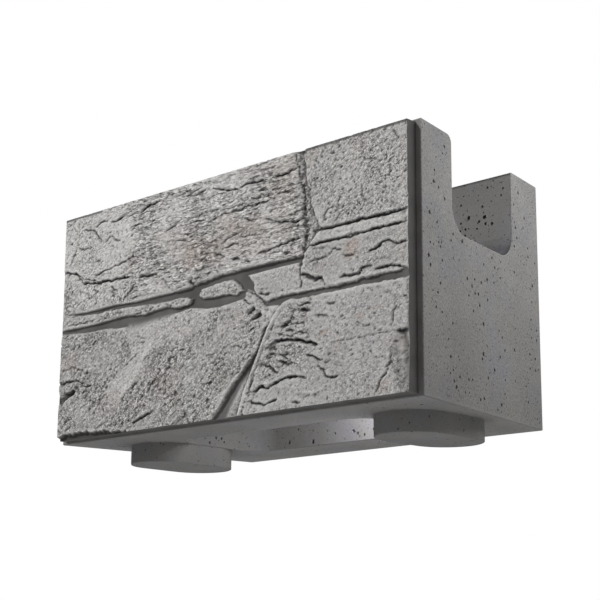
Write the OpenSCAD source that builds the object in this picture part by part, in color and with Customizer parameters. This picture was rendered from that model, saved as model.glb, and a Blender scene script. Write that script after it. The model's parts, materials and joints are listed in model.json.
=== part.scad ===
// Hollow-core retaining-wall block with a stone-patterned face, cast in one piece.
// Millimetres. +X runs along the face, +Y from the face to the back, +Z up.
// The origin is on the floor, in the middle of the block's box.

/* [Body] */
// Width of the body at its face
face_w = 1219; // [1040:1:1500]
// Width of the body at its back, narrower so that walls can curve
back_w = 997; // [850:1:1219]
// Depth of the body behind the stone panel
body_d = 587; // [520:1:760]
// Height of the body from its bearing face to the tops of its walls
body_h = 610; // [520:1:760]

/* [Walls and webs] */
// Thickness of the front wall
front_wall = 140; // [100:1:170]
// Thickness of the back wall
back_wall = 147; // [100:1:170]
// Height of the webs, whose tops are the floor of the trough
web_h = 390; // [250:1:420]
// Radius where the floor of the trough meets the walls
trough_r = 60; // [20:1:75]
// Rounding of the front wall's inner top edge
front_round = 20; // [4:1:40]
// Rounding of the back wall's inner top edge
back_round = 10; // [4:1:40]

/* [Core] */
// Width of the core between the two webs
core_w = 656; // [400:1:680]
// Radius of the core's four corners
core_r = 75; // [30:1:85]

/* [Lugs] */
// Width of a lug along the face
lug_w = 180; // [90:1:190]
// Height of a lug below the bearing face
lug_h = 50; // [30:1:80]
// Distance from the core to a lug
lug_edge = 3; // [2:1:40]
// Play at each end of a lug in the trough of the block below
lug_play = 3; // [2:1:10]
// Setback of each course from the one below it
setback = 39; // [0:1:70]

/* [Stone panel] */
// Bare strip of the face at each side of the panel
side_reveal = 15; // [6:1:40]
// Bare strip of the face above and below the panel
edge_reveal = 7; // [4:1:30]
// How far the bed of the joints stands out from the bare strip
bed_relief = 20; // [10:1:22]
// How far the highest stone stands out from the bare strip
stone_relief = 36; // [32:1:60]
// How far a stone's flank runs out from its rim to its foot
flank_run = 7; // [3:1:12]
// Width of the raised rib beside the slanting joint
rib_w = 22; // [16:1:40]

/* [Hidden] */
$fn = 96;

// Spare length of a cutter past the face that it leaves, and of a piece sunk into its neighbour
spare = 20;
trough_w = body_d - front_wall - back_wall;
trough_y = front_wall + trough_w / 2;
lug_l = trough_w - 2 * lug_play;
lug_x = core_w / 2 + lug_edge + lug_w / 2;
lug_y = trough_y - setback;
panel_w = face_w - 2 * side_reveal;
panel_h = body_h - 2 * edge_reveal;
concrete = "#8b8a88";

// The stones' rims, as percentages across and up the panel. A point past 0 or 100 is cut off
// at the panel's edge. Each stone has its rim's and its crown's drop below the highest stone.
// [outline, rim_drop, crown_drop]
STONES = [
    // Long slab at the top left, broken along its lower left edge
    [[[-3, 75], [4, 74], [6.5, 68.5], [10, 67.5], [22.5, 66.5], [33, 64.5], [37.5, 55], [41.5, 55.5],
      [44.5, 57], [49.5, 58], [74, 58], [74.2, 76], [72, 103], [-3, 103]], 6, 3],
    // Layer that shows where the slab has broken off
    [[[-5, 55.3], [20, 54.7], [36, 54.5], [42, 61], [36.5, 72], [-5, 80]], 9.5, 7.5],
    // Slab at the top right
    [[[79, 67], [105, 67], [105, 105], [74, 105], [75, 87], [76.5, 77.5], [78, 69.5]], 6.5, 5],
    // Rough strip between the two slabs
    [[[73.5, 58], [75.5, 60.5], [77, 66], [79.5, 68.5], [78, 77.5], [76.5, 87], [75, 107], [70.5, 107],
      [73, 76]], 13, 11],
    // Thin course under the right slab
    [[[75.5, 62], [103, 62], [103, 66], [78, 66]], 7.5, 6.5],
    // Stepped stone in the right half
    [[[73.5, 51], [76, 49], [79, 48.5], [79.5, 46], [81.5, 44], [91, 44.5], [99, 45], [104, 44.5],
      [104, 61.5], [75.5, 61], [74.5, 58.5]], 6.5, 4.5],
    // Wedge under its step
    [[[73.5, 44], [81, 44], [79.5, 45.5], [78.5, 47.5], [75.5, 48], [73.5, 50]], 8.5, 8],
    // Small stone with a slanting end
    [[[63.5, 44], [73, 44], [73, 56], [58.5, 56], [60.5, 51.5], [61, 48.5], [62.5, 45.5]], 7.5, 6],
    // Broken piece at the foot of the slanting end
    [[[58, 46], [62.5, 41], [64, 43], [62.5, 45], [61, 48], [58.5, 49.5]], 11, 8],
    // Long thin course on the left
    [[[-4, 48.5], [16.5, 48.5], [33, 49], [38, 48], [42, 49.5], [42.5, 51], [38, 52.5], [25, 53.5],
      [-4, 55]], 8, 7],
    // Small lens between the joints
    [[[45, 51.5], [46, 50], [49, 49.5], [52.5, 49.5], [56, 48.5], [57.5, 49.5], [55, 53.5], [54, 54.5],
      [48.5, 54.5], [46, 54]], 8.5, 6],
    // Large stone at the bottom left
    [[[-6, -3], [49.5, -3], [50.5, 2], [52.5, 7], [55, 12], [58, 17.5], [62, 25], [63.5, 33], [63.5, 38.5],
      [62.5, 41], [58, 44.5], [50, 45], [33, 45.5], [16.5, 46], [-6, 46.5]], 6.5, 0],
    // Smooth fill at the head of the rib
    [[[63.5, 33], [65, 33], [66.5, 37], [69, 40.5], [65.5, 41], [63.5, 40.5]], 10, 8],
    // Large stone at the bottom right
    [[[58, -5], [106, -5], [106, 41], [83.5, 41.5], [70.5, 41], [68, 38], [66.5, 33], [65.5, 27.5],
      [63.5, 20.5], [62, 15.5], [60.5, 9], [59, 3]], 6.5, 3],
];

// How much deeper each stone's foot lies than the one before, so that no two lie in one plane
foot_step = 0.3;

// Crest of the rib beside the slanting joint, from its top to the panel's lower edge
RIB = [[70, 41], [68, 39], [66.5, 35.5], [65, 32], [63, 24], [61, 16], [59, 7.5], [57.5, 2], [55, -7]];
// The rib's drop below the highest stone
rib_drop = 4;

// Place on the panel, in millimetres, of a point given in percentages
function on_panel(p) = [(p.x / 100 - 0.5) * panel_w, edge_reveal + p.y / 100 * panel_h];

function unit(v) = v / norm(v);
// Outward normal of an edge of an outline that runs anticlockwise
function outward(a, b) = unit([b.y - a.y, a.x - b.x]);
// Outline moved outwards by a distance, each corner along the line that halves it
function grow(ring, by) = let (n = len(ring)) [
    for (i = [0 : n - 1])
        let (before = outward(ring[(i + n - 1) % n], ring[i]), after = outward(ring[i], ring[(i + 1) % n]))
            ring[i] + (before + after) * by / (1 + before * after)
];
// Centre of an outline's area, from the triangles between its edges and the origin
function middle(ring) = let (
    n = len(ring),
    next = [for (i = [0 : n - 1]) ring[(i + 1) % n]],
    weight = [for (i = [0 : n - 1]) cross(ring[i], next[i])]
) weight * (ring + next) / (3 * (weight * [for (w = weight) 1]));
// A point of the face, standing out by a relief
function proud(p, relief) = [p.x, -relief, p.y];

// One stone: a foot sunk in the bed, a sloping flank, and a cap that rises from the rim to the crown
module stone(outline, rim_drop, crown_drop, sunk) {
    rim = [for (p = outline) on_panel(p)];
    foot = grow(rim, flank_run);
    n = len(rim);
    points = concat(
        [for (p = foot) proud(p, bed_relief / 2 - sunk)],
        [for (p = rim) proud(p, stone_relief - rim_drop)],
        [proud(middle(rim), stone_relief - crown_drop)]
    );
    faces = concat(
        [[for (i = [0 : n - 1]) i]],
        [for (i = [0 : n - 1]) let (j = (i + 1) % n) each [[i, n + i, j], [j, n + i, n + j]]],
        [for (i = [0 : n - 1]) [n + i, 2 * n, n + (i + 1) % n]]
    );
    polyhedron(points, faces);
}

// The rib: a three-sided bar that follows its crest
module rib() {
    crest = [for (p = RIB) on_panel(p)];
    n = len(crest);
    side = [for (i = [0 : n - 1]) outward(crest[max(i - 1, 0)], crest[min(i + 1, n - 1)]) * rib_w / 2];
    points = [for (i = [0 : n - 1]) each [
        proud(crest[i] - side[i], bed_relief / 2),
        proud(crest[i], stone_relief - rib_drop),
        proud(crest[i] + side[i], bed_relief / 2)
    ]];
    faces = concat(
        [[0, 1, 2], [3 * n - 1, 3 * n - 2, 3 * n - 3]],
        [for (i = [0 : n - 2], k = [0 : 2]) let (a = 3 * i + k, b = 3 * i + (k + 1) % 3)
            each [[a, a + 3, b], [b, a + 3, b + 3]]]
    );
    polyhedron(points, faces);
}

// The panel: the bed of the joints with the stones on it, cut straight at the panel's edges
module stone_panel() {
    translate([-panel_w / 2, -bed_relief, edge_reveal])
        cube([panel_w, bed_relief + spare, panel_h]);
    intersection() {
        translate([-panel_w / 2, -stone_relief - spare, edge_reveal])
            cube([panel_w, stone_relief + spare, panel_h]);
        union() {
            for (i = [0 : len(STONES) - 1]) stone(STONES[i][0], STONES[i][1], STONES[i][2], i * foot_step);
            rib();
        }
    }
}

// Plan of the core, which is as deep as the trough above it
module core_plan() {
    translate([0, trough_y]) {
        square([core_w - 2 * core_r, trough_w], center = true);
        square([core_w, trough_w - 2 * core_r], center = true);
        for (x = [-1, 1], y = [-1, 1])
            translate([x * (core_w / 2 - core_r), y * (trough_w / 2 - core_r)]) circle(core_r);
    }
}

// The body's plan, narrower at the back, with the core open from top to bottom
module body_plan() {
    difference() {
        polygon([[-face_w / 2, 0], [face_w / 2, 0], [back_w / 2, body_d], [-back_w / 2, body_d]]);
        core_plan();
    }
}

// What a rounding of radius r takes off a wall's inner top edge at y, with the wall towards -Y or +Y
module rounding(y, r, towards) {
    translate([y, body_h]) mirror([towards > 0 ? 1 : 0, 0]) difference() {
        translate([-r, -r]) square([r + spare, r + spare]);
        translate([-r, -r]) circle(r);
    }
}

// Section of the trough, with Y to the right
module trough_section() {
    translate([front_wall, web_h + trough_r]) square([trough_w, body_h - web_h - trough_r + spare]);
    translate([front_wall + trough_r, web_h]) square([trough_w - 2 * trough_r, 2 * trough_r]);
    for (y = [front_wall + trough_r, body_d - back_wall - trough_r])
        translate([y, web_h + trough_r]) circle(trough_r);
    rounding(front_wall, front_round, -1);
    rounding(body_d - back_wall, back_round, 1);
}

// The trough over the webs, open at both sides
module trough() {
    rotate([90, 0, 90]) linear_extrude(face_w + 2 * spare, center = true) trough_section();
}

// A lug under one web, which sits in the trough of the block below
module lug() {
    translate([0, 0, -lug_h]) linear_extrude(lug_h + spare) {
        square([lug_w, lug_l - lug_w], center = true);
        for (y = [-1, 1]) translate([0, y * (lug_l - lug_w) / 2]) circle(lug_w / 2);
    }
}

// The whole casting
module block() {
    color(concrete)
        translate([0, (stone_relief - body_d) / 2, lug_h]) {
            difference() {
                linear_extrude(body_h) body_plan();
                trough();
            }
            for (x = [-1, 1]) translate([x * lug_x, lug_y, 0]) lug();
            stone_panel();
        }
}

block();
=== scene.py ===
# %% [markdown]
# # A hollow-core concrete block with a stone-patterned face
#
# The block is one casting: two walls, two webs between them, a core right through, and a face that
# a form liner has given the look of bedded stone. The solid already has every main shape at its
# real size, so this lesson only gives the casting its skin. We take the solid's flat sides and press
# air holes into them, lay a fine relief over the face, and then mix the finishes from nodes.

# %% Load the frame
import json
import math

import bmesh
import bpy
import numpy as np
from mathutils import Matrix, Vector
from mathutils.bvhtree import BVHTree
from mathutils.geometry import delaunay_2d_cdt


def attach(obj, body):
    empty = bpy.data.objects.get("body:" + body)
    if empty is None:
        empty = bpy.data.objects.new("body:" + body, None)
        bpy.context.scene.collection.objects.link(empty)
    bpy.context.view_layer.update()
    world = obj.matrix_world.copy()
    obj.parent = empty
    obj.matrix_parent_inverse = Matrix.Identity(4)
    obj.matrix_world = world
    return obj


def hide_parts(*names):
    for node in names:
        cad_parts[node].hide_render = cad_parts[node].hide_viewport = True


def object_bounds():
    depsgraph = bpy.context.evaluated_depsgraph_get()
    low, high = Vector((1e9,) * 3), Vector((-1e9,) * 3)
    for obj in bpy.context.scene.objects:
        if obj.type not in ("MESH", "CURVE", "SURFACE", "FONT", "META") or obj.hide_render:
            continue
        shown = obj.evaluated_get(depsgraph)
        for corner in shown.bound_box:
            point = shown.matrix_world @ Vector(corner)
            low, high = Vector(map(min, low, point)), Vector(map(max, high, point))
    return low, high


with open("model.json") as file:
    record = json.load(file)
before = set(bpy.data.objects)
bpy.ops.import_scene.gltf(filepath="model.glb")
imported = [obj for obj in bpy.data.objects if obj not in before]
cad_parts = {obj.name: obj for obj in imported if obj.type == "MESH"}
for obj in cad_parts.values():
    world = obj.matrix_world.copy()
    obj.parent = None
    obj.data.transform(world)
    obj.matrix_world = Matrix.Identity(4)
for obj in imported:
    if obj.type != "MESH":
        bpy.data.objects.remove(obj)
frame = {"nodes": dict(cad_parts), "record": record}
cad_low, cad_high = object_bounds()
MM = 0.001
print("solid's box in mm:", [round(side / MM) for side in cad_high - cad_low])

# %% [markdown]
# ## The camera
#
# The photograph looks up at the block from the right, from below its underside. A camera can be
# placed by eye, or solved from straight edges whose directions are known. Here the edges of the face
# and of the right side were enough to solve it, so the place, the turn and the focal length below
# are a real camera's. The focal length is in pixels of a 600-pixel image, and Blender wants it in
# millimetres on a sensor.

# %% Place the camera
IMAGE_PX = 600
FOCAL_PX = 1488.2
SENSOR_MM = 36.0
CAMERA_AT = Vector((2.536, -2.652, -0.452))
CAMERA_YAW = math.radians(43.88)
CAMERA_PITCH = math.radians(13.0)
CAMERA_ROLL = math.radians(-0.44)


def camera_turn(yaw, pitch, roll):
    """Rotation of a camera that looks along +Y, turned left by yaw, up by pitch and rolled."""
    turn = Matrix.Rotation(yaw, 3, "Z") @ Matrix.Rotation(pitch, 3, "X")
    look_along_y = Matrix.Rotation(math.radians(90), 3, "X")
    return turn @ look_along_y @ Matrix.Rotation(-roll, 3, "Z")


camera_data = bpy.data.cameras.new("photo_camera")
camera_data.sensor_width = SENSOR_MM
camera_data.lens = SENSOR_MM * FOCAL_PX / IMAGE_PX
camera = bpy.data.objects.new("photo_camera", camera_data)
camera.matrix_world = (
    Matrix.Translation(CAMERA_AT) @ camera_turn(CAMERA_YAW, CAMERA_PITCH, CAMERA_ROLL).to_4x4()
)
bpy.context.scene.collection.objects.link(camera)
bpy.context.scene.camera = camera
print("camera lens in mm:", round(camera_data.lens, 1))

# %% [markdown]
# ## Reading the solid
#
# Sizes are not typed in again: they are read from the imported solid, so the skin always fits it.
# The widest corners of the body lie on the bare strip round the panel, which gives the strip's
# plane. All that stands out in front of that plane is the panel. A ray tree over the solid will
# later tell us how far each stone stands out.

# %% Read the solid
WELD = 0.00002
casting = bmesh.new()
casting.from_mesh(frame["nodes"]["block"].data)
bmesh.ops.remove_doubles(casting, verts=casting.verts, dist=WELD)
stone_rays = BVHTree.FromBMesh(casting)

strip_y = max(casting.verts, key=lambda v: v.co.x).co.y
in_front = [v.co for v in casting.verts if v.co.y < strip_y - WELD]
panel_left, panel_right = min(p.x for p in in_front), max(p.x for p in in_front)
panel_foot, panel_top = min(p.z for p in in_front), max(p.z for p in in_front)
mounts = {m["name"]: Vector(m["pos_m"]) for m in frame["record"]["mounts"]}
underside_z = mounts["lugs"].z
in_joint = casting.verts.layers.float.new("joint")
# The number named hollow carries painted shade for hollows and painted light for the stone's bumps.
hollow_shading_layer = casting.verts.layers.float.new("hollow")
print("panel in mm:", round((panel_right - panel_left) / MM), "by", round((panel_top - panel_foot) / MM))

# %% [markdown]
# ## Worn edges
#
# Freshly stripped concrete never has a knife edge: paste is missing along every arris. A bevel of
# two or three millimetres on the sharp edges is enough, and it gives the light something to catch. Only
# edges that stand out wear: where two sides meet in a corner, the corner stays sharp.
# The panel's own faces go first, because the relief will take their place, and flat triangles are
# dissolved into whole faces, so that the bevel sees clean edges.

# %% Wear the edges
ARRIS = 2.5 * MM
FLAT_ANGLE = math.radians(0.3)
SHARP_ANGLE = math.radians(40)

panel_faces = [f for f in casting.faces if any(v.co.y < strip_y - WELD for v in f.verts)]
bmesh.ops.delete(casting, geom=panel_faces, context="FACES")
bmesh.ops.dissolve_limit(casting, angle_limit=FLAT_ANGLE, verts=casting.verts, edges=casting.edges)
outer_edges = [e for e in casting.edges if len(e.link_faces) == 2 and e.is_convex]
sharp_edges = [e for e in outer_edges if e.calc_face_angle() > SHARP_ANGLE]
bmesh.ops.bevel(casting, geom=sharp_edges, offset=ARRIS, segments=2, profile=0.5, affect="EDGES")
print("edges worn:", len(sharp_edges))

# %% [markdown]
# ## Air holes
#
# Air trapped against the mould leaves small round holes in a cast face. They could be painted or
# bumped, but a real hole has a dark inside from every angle, so the larger ones are modelled. Cutting
# hundreds of holes with booleans is slow. It is quicker to triangulate each flat side afresh: the
# outline and the rims of the holes go into a constrained triangulation together, the triangles inside
# a rim are left out, and a small bowl hangs from each rim.
#
# Holes gather where air gathers, so three of every four thrown points follow the first one at a short
# distance. The trough and the core, which an inner mould shapes, have the most, then the ends. Sides that
# the camera doesn't see get fewer, so that the triangles are spent where they show.

# %% Find the flat sides
SIDE_AREA = 0.02


def flat_sides(mesh):
    """Groups of joined faces that lie in one plane, the large ones only."""
    mesh.normal_update()
    seen = set()
    sides = []
    for first in mesh.faces:
        if first in seen:
            continue
        seen.add(first)
        group = [first]
        for face in group:
            for other in (f for edge in face.edges for f in edge.link_faces):
                if other not in seen and face.normal.angle(other.normal, 0) < FLAT_ANGLE:
                    seen.add(other)
                    group.append(other)
        if sum(f.calc_area() for f in group) > SIDE_AREA:
            sides.append(group)
    return sides


def outlines(group):
    """Closed rings of vertices round a group of faces, each in the faces' own direction."""
    inside = set(group)
    following = {}
    for face in group:
        for loop in face.loops:
            if not any(f in inside and f is not face for f in loop.edge.link_faces):
                following[loop.vert] = loop.link_loop_next.vert
    rings = []
    while following:
        start, vert = following.popitem()
        ring = [start]
        while vert is not start:
            ring.append(vert)
            vert = following.pop(vert)
        rings.append(ring)
    return rings


sides = flat_sides(casting)
print("flat sides:", len(sides))

# %% Press air holes into the sides
HOLES_PER_SQUARE_METRE = 720
HOLE_SMALL = 1.3 * MM
HOLE_LARGE = 5.0 * MM
HOLE_SPACING = 1.5 * MM
ROUND_HOLE = 2.6 * MM
CLUMP = 28 * MM
INNER_CROWDING = 3.4
INNER_GROWTH = 1.1
END_CROWDING = 1.6
HIDDEN_CROWDING = 0.5
SMALL_RIM_POINTS = 6
LARGE_RIM_POINTS = 9
HOLE_TALLNESS = 1.15
RIM_STRETCH = 1.15
BOWL_WAIST = 0.72
BOWL_SHOULDER = 0.6
TINY = 1e-7
hole_dice = np.random.default_rng(31)


def side_axes(normal):
    """Two directions in a side's plane, the first level, that make a right-handed set with its normal."""
    level = Vector((0, 0, 1)).cross(normal)
    along = level.normalized() if level.length > 0.1 else Vector((1, 0, 0))
    return along, normal.cross(along)


def clear_of_outline(points, rings):
    """How far each point lies inside the rings, or a negative number where it lies outside."""
    inside = np.zeros(len(points), bool)
    nearest = np.full(len(points), np.inf)
    for ring in rings:
        for a, b in zip(ring, np.roll(ring, -1, axis=0)):
            along = np.clip((points - a) @ (b - a) / max((b - a) @ (b - a), 1e-12), 0, 1)
            nearest = np.minimum(nearest, np.linalg.norm(points - a - along[:, None] * (b - a), axis=1))
            crosses = (a[1] > points[:, 1]) != (b[1] > points[:, 1])
            rise = b[1] - a[1] if b[1] != a[1] else 1.0
            inside ^= crosses & (points[:, 0] < a[0] + (points[:, 1] - a[1]) / rise * (b[0] - a[0]))
    return np.where(inside, nearest, -nearest)


def throw_holes(rings, area, crowding, growth):
    """Centres and radii of holes thrown at a side, kept off its outline and off one another."""
    corners = np.concatenate(rings)
    low, high = corners.min(axis=0), corners.max(axis=0)
    wanted = int(area * HOLES_PER_SQUARE_METRE * crowding)
    points = hole_dice.uniform(low, high, (wanted * 4, 2))
    for follower in (1, 2, 3):
        points[follower::4] = points[::4] + hole_dice.normal(0, CLUMP, (wanted, 2))
    radii = HOLE_SMALL * (HOLE_LARGE * growth / HOLE_SMALL) ** (hole_dice.random(wanted * 4) ** 1.8)
    room = clear_of_outline(points, rings)
    widest = RIM_STRETCH * HOLE_TALLNESS
    kept = []
    for point, radius, gap in zip(points, radii, room):
        if gap < radius * widest + ARRIS:
            continue
        if all(np.hypot(*(point - p)) > (radius + r) * widest + HOLE_SPACING for p, r in kept):
            kept.append((point, radius))
        if len(kept) == wanted:
            break
    return kept


def fill_side(rings, normal):
    """Fills the flat region between rings of vertices, the widest of which is the outer one."""
    along, up = side_axes(normal)
    flat_rings = [[(v.co.dot(along), v.co.dot(up)) for v in ring] for ring in rings]
    spans = [np.ptp(ring, axis=0).sum() for ring in flat_rings]
    starts = np.cumsum([0] + [len(ring) for ring in rings])
    loops = []
    for ring, first, last in zip(flat_rings, starts, starts[1:]):
        x, y = np.array(ring).T
        anticlockwise = (x * np.roll(y, -1) - np.roll(x, -1) * y).sum() > 0
        loops.append(list(range(first, last))[:: 1 if anticlockwise else -1])
    points = [Vector(p) for ring in flat_rings for p in ring]
    _, _, triangles, origins, _, sources = delaunay_2d_cdt(points, [], loops, 0, TINY)
    verts = [v for ring in rings for v in ring]
    return [
        casting.faces.new([verts[origins[corner][0]] for corner in triangle])
        for triangle, source in zip(triangles, sources)
        if list(source) == [int(np.argmax(spans))]
    ]


def press_holes(group, crowding, growth, finish):
    """Replaces a flat side by the same side with air holes in it. Returns how many there are."""
    normal = group[0].normal.copy()
    along, up = side_axes(normal)
    level = group[0].verts[0].co.dot(normal)
    outline_rings = outlines(group)
    flat_rings = [np.array([(v.co.dot(along), v.co.dot(up)) for v in ring]) for ring in outline_rings]
    holes = throw_holes(flat_rings, sum(f.calc_area() for f in group), crowding, growth)
    bmesh.ops.delete(casting, geom=group, context="FACES")

    def ring_of_verts(points, depth):
        ring = [casting.verts.new(along * x + up * y + normal * (level - depth)) for x, y in points.tolist()]
        # Points below the side are marked, and the finish paints them dark as the shade inside the hole.
        for vert in ring:
            vert[hollow_shading_layer] = depth > 0
        return ring

    bowls = []
    for centre, radius in holes:
        rim_points = LARGE_RIM_POINTS if radius > ROUND_HOLE else SMALL_RIM_POINTS
        turns = (np.arange(rim_points) + hole_dice.uniform(-0.3, 0.3, rim_points)) * 2 * np.pi / rim_points
        reach = radius * hole_dice.uniform(0.75, RIM_STRETCH, rim_points)
        spokes = np.stack([np.cos(turns), np.sin(turns) * HOLE_TALLNESS], axis=1) * reach[:, None]
        depth = radius * hole_dice.uniform(1.0, 1.7)
        rings = [ring_of_verts(centre + spokes, 0)]
        if radius > ROUND_HOLE:
            rings.append(ring_of_verts(centre + spokes * BOWL_WAIST, depth * BOWL_SHOULDER))
        bowls.append((rings, ring_of_verts(centre[None], depth)[0]))
    faces = fill_side(outline_rings + [rings[0] for rings, _ in bowls], normal)
    for rings, bottom in bowls:
        for i in range(len(rings[0])):
            j = (i + 1) % len(rings[0])
            for outer, inner in zip(rings, rings[1:]):
                faces.append(casting.faces.new([outer[i], outer[j], inner[j], inner[i]]))
            faces.append(casting.faces.new([rings[-1][i], rings[-1][j], bottom]))
    for face in faces:
        face.material_index = finish
    return len(holes)


CONCRETE, INNER, STONE, REVEAL, STRIP = range(5)


def inside_block(face):
    """Whether a face belongs to the trough or the core, which an inner mould has shaped."""
    centre = face.calc_center_median()
    between_walls = abs(centre.y) < mounts["back_wall_top"].y - ARRIS
    outer_side = abs(centre.x) > cad_high.x * 0.6 and abs(face.normal.x) > 0.5
    return between_walls and not outer_side and face.normal.z > -0.1 and centre.z > underside_z


for face in casting.faces:
    face.smooth = True
    face.material_index = INNER if inside_block(face) else CONCRETE
strip = next(group for group in sides if abs(group[0].calc_center_median().y - strip_y) < WELD)
hole_count = 0
for group in sides:
    if group is strip:
        continue
    facing = group[0].normal
    in_view = (CAMERA_AT - group[0].calc_center_median()).dot(facing) > 0
    inner = inside_block(group[0])
    crowding = HIDDEN_CROWDING
    if in_view and (inner or abs(facing.x) > 0.5):
        crowding = INNER_CROWDING if inner else END_CROWDING
    hole_count += press_holes(group, crowding, INNER_GROWTH if inner else 1.0, INNER if inner else CONCRETE)
print("air holes:", hole_count, "faces so far:", len(casting.faces))

# %% [markdown]
# ## Noise for the stone
#
# The face was cast against a liner that was taken from bedded stone, so its shape is broken and
# grainy at every scale. Sculpting it by hand would take days, and a bump map would leave its outline
# flat. Instead we work out a height for every point of a fine grid with numpy. Its raw material is
# gradient noise: random slopes at the corners of a lattice, with smooth blends between them. Every
# lattice has a seed, so each run gives the same stone.

# %% Make noise
NOISE_TILE = 256


def ease(t):
    """Blend from 0 to 1 that starts and ends level."""
    return t * t * t * (t * (t * 6 - 15) + 10)


def smooth_noise(x, y, seed):
    """Noise of about -1 to 1, whose bumps are about one unit wide."""
    turns = np.random.default_rng(seed).uniform(0, 2 * np.pi, (NOISE_TILE, NOISE_TILE))
    cell_x, cell_y = np.floor(x).astype(int), np.floor(y).astype(int)
    part_x, part_y = x - cell_x, y - cell_y

    def corner(i, j):
        turn = turns[(cell_x + i) % NOISE_TILE, (cell_y + j) % NOISE_TILE]
        return np.cos(turn) * (part_x - i) + np.sin(turn) * (part_y - j)

    low = corner(0, 0) + ease(part_x) * (corner(1, 0) - corner(0, 0))
    high = corner(0, 1) + ease(part_x) * (corner(1, 1) - corner(0, 1))
    return 1.5 * (low + ease(part_y) * (high - low))


def rough_noise(x, y, seed, octaves=3):
    """Smooth noise with finer and weaker layers laid over it."""
    layers = (smooth_noise(x * 2**i, y * 2**i, seed + i) / 2**i for i in range(octaves))
    return sum(layers)


# %% [markdown]
# ## The stones' main shapes
#
# The heights of the stones are already in the solid, so we drop a ray on it for each point of the
# grid. Straight edges would give the casting away. So each ray lands a few millimetres off its place,
# by an amount that wanders, and the stones get ragged outlines for nothing. From here on, places and
# heights on the face are in millimetres: across from the middle, and up from the underside.

# %% Take the stones from the solid
FACE_COLUMNS = 283
FACE_ROWS = 238

panel_x = np.linspace(panel_left, panel_right, FACE_COLUMNS + 1)
panel_z = np.linspace(panel_foot, panel_top, FACE_ROWS + 1)
across, rise = np.meshgrid(panel_x / MM, (panel_z - underside_z) / MM)


def relief_of_solid(x, z):
    """How far the solid stands out from the bare strip at places on its face."""
    inset = 0.5
    x = np.clip(x, across.min() + inset, across.max() - inset)
    z = np.clip(z, rise.min() + inset, rise.max() - inset)
    out_in_front = cad_low.y - 1.0
    heights = np.empty(x.shape)
    for place in np.ndindex(x.shape):
        start = Vector((x[place] * MM, out_in_front, underside_z + z[place] * MM))
        heights[place] = (strip_y - stone_rays.ray_cast(start, Vector((0, 1, 0)))[0].y) / MM
    return heights


ragged_x = across + 5 * smooth_noise(across / 60, rise / 60, 1) + 3 * rough_noise(across / 18, rise / 18, 2)
ragged_z = rise + 3 * smooth_noise(across / 60, rise / 60, 5) + 2 * rough_noise(across / 18, rise / 18, 6)
stones = relief_of_solid(ragged_x, ragged_z)
bed = stones.min()
on_stone = ease(np.clip((stones - bed - 0.5) / 3, 0, 1))
print("stones in mm:", round(bed, 1), "to", round(stones.max(), 1))
print("share of joints:", round(1 - on_stone.mean(), 2))

# %% [markdown]
# ## Flakes, splits and pits
#
# Bedded stone breaks in thin flakes. Each flake has its own level and leans out towards its lower edge,
# so seen from below most flakes end in a dark line. We share the face out among scattered points, as a
# Voronoi texture does, with cells stretched along the bedding. Fine splits follow the bedding too: they
# are the lines where a stretched noise crosses zero. Where grains have fallen out there are pits, which
# are the peaks of a finer noise, turned inwards.

# %% Shape flakes, splits and pits
bend = 12 * smooth_noise(across / 170, rise / 120, 14)


def along_and_up(angle):
    """Places on the face, measured along bent lines at an angle to the level, and square to them."""
    turn = math.radians(angle)
    along = across * math.cos(turn) + rise * math.sin(turn)
    return along, rise * math.cos(turn) - across * math.sin(turn) + bend


def flakes(angle, length, thickness, seed):
    """Broken flakes, each at a level of its own, that lean out to their lower edges."""
    along, up = along_and_up(angle)
    u, v = along / length, up / thickness
    u, v = u + 0.4 * rough_noise(u, v, seed), v + 0.4 * rough_noise(u, v, seed + 5)
    places_u, places_v, levels = np.random.default_rng(seed).random((3, NOISE_TILE, NOISE_TILE))
    cell_u, cell_v = np.floor(u).astype(int), np.floor(v).astype(int)
    nearest = np.full(u.shape, np.inf)
    height = np.zeros(u.shape)
    for i, j in np.ndindex(3, 3):
        cell = (cell_u + i - 1) % NOISE_TILE, (cell_v + j - 1) % NOISE_TILE
        off_u = u - (cell_u + i - 1) - places_u[cell]
        off_v = v - (cell_v + j - 1) - places_v[cell]
        distance = np.hypot(off_u, off_v)
        height = np.where(distance < nearest, levels[cell] - 0.6 * off_v, height)
        nearest = np.minimum(nearest, distance)
    return height - 0.5


def creases(angle, length, thickness, seed):
    """Fine dark splits that run together and part again, 0 to 1 deep."""
    along, up = along_and_up(angle)
    wander = rough_noise(along / length, up / thickness, seed, octaves=2)
    strength = np.clip(0.5 + smooth_noise(along / length, up / thickness, seed + 10), 0, 1)
    return np.exp(-((wander / 0.22) ** 2)) * strength


def pits(size, threshold, seed):
    """Pits where grains are missing, 0 to 1 deep."""
    return np.clip((rough_noise(across / size, rise / size, seed, octaves=2) - threshold) / 0.25, 0, 1)


def patchy(size, seed):
    """0 to 1 in soft patches of a size."""
    return np.clip(0.5 + 1.2 * smooth_noise(across / size, 1.4 * rise / size, seed), 0, 1)


def patch(corners, soft):
    """1 inside an outline on the face and 0 outside it, with a soft edge."""
    places = np.stack([across, rise], axis=-1).reshape(-1, 2)
    inside = clear_of_outline(places, [np.array(corners, float)]).reshape(across.shape)
    return ease(np.clip(0.5 + inside / (2 * soft), 0, 1))


# %% [markdown]
# ## Cracks
#
# The eye knows this face by its cracks, so the plain ones are placed one by one. Each is a short line of
# points with a depth and a width. A crack is a groove whose lower side also lies back a little, since
# a flake is missing there, and it thins out towards both ends. The lines are bent by the same wander
# as the stones' outlines, so that few points are enough.

# %% Carve cracks
FLAKE_REACH = 18


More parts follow.
